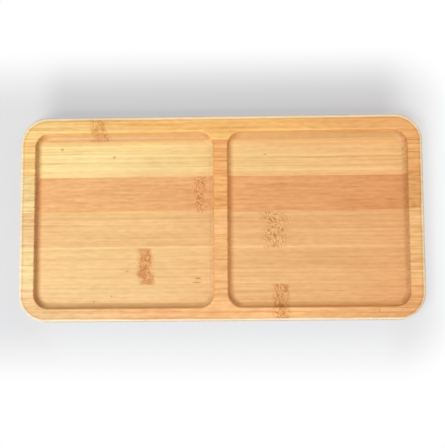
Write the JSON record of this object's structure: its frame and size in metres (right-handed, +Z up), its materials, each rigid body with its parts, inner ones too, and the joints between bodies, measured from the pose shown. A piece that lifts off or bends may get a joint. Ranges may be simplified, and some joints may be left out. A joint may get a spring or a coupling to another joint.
{
  "type": "divided compartment plate",
  "caption": "Rectangular bamboo serving plate with rounded corners and shallow square compartments side by side, cut into a board glued up from flat strips.",
  "frame": {"origin": "centre of the underside, on the surface that the plate stands on", "axes": "+X along the length and the grain, +Y to the back edge, +Z up, out of the compartments"},
  "size_m": [0.25, 0.1276, 0.012],
  "materials": {
    "straw_bamboo": "oiled satin, pale straw bamboo",
    "honey_bamboo": "oiled satin, honey-coloured bamboo",
    "amber_bamboo": "oiled satin, amber bamboo"
  },
  "bodies": {
    "root": {"face_back_strip": "honey_bamboo", "face_strip_1": "straw_bamboo", "face_strip_2": "amber_bamboo", "face_strip_3": "honey_bamboo", "face_strip_4": "honey_bamboo", "face_front_strip": "straw_bamboo", "backing_back_strip": "straw_bamboo", "backing_strip_1": "honey_bamboo", "backing_strip_2": "honey_bamboo", "backing_strip_3": "straw_bamboo", "backing_strip_4": "amber_bamboo", "backing_front_strip": "honey_bamboo"}
  },
  "joints": []
}
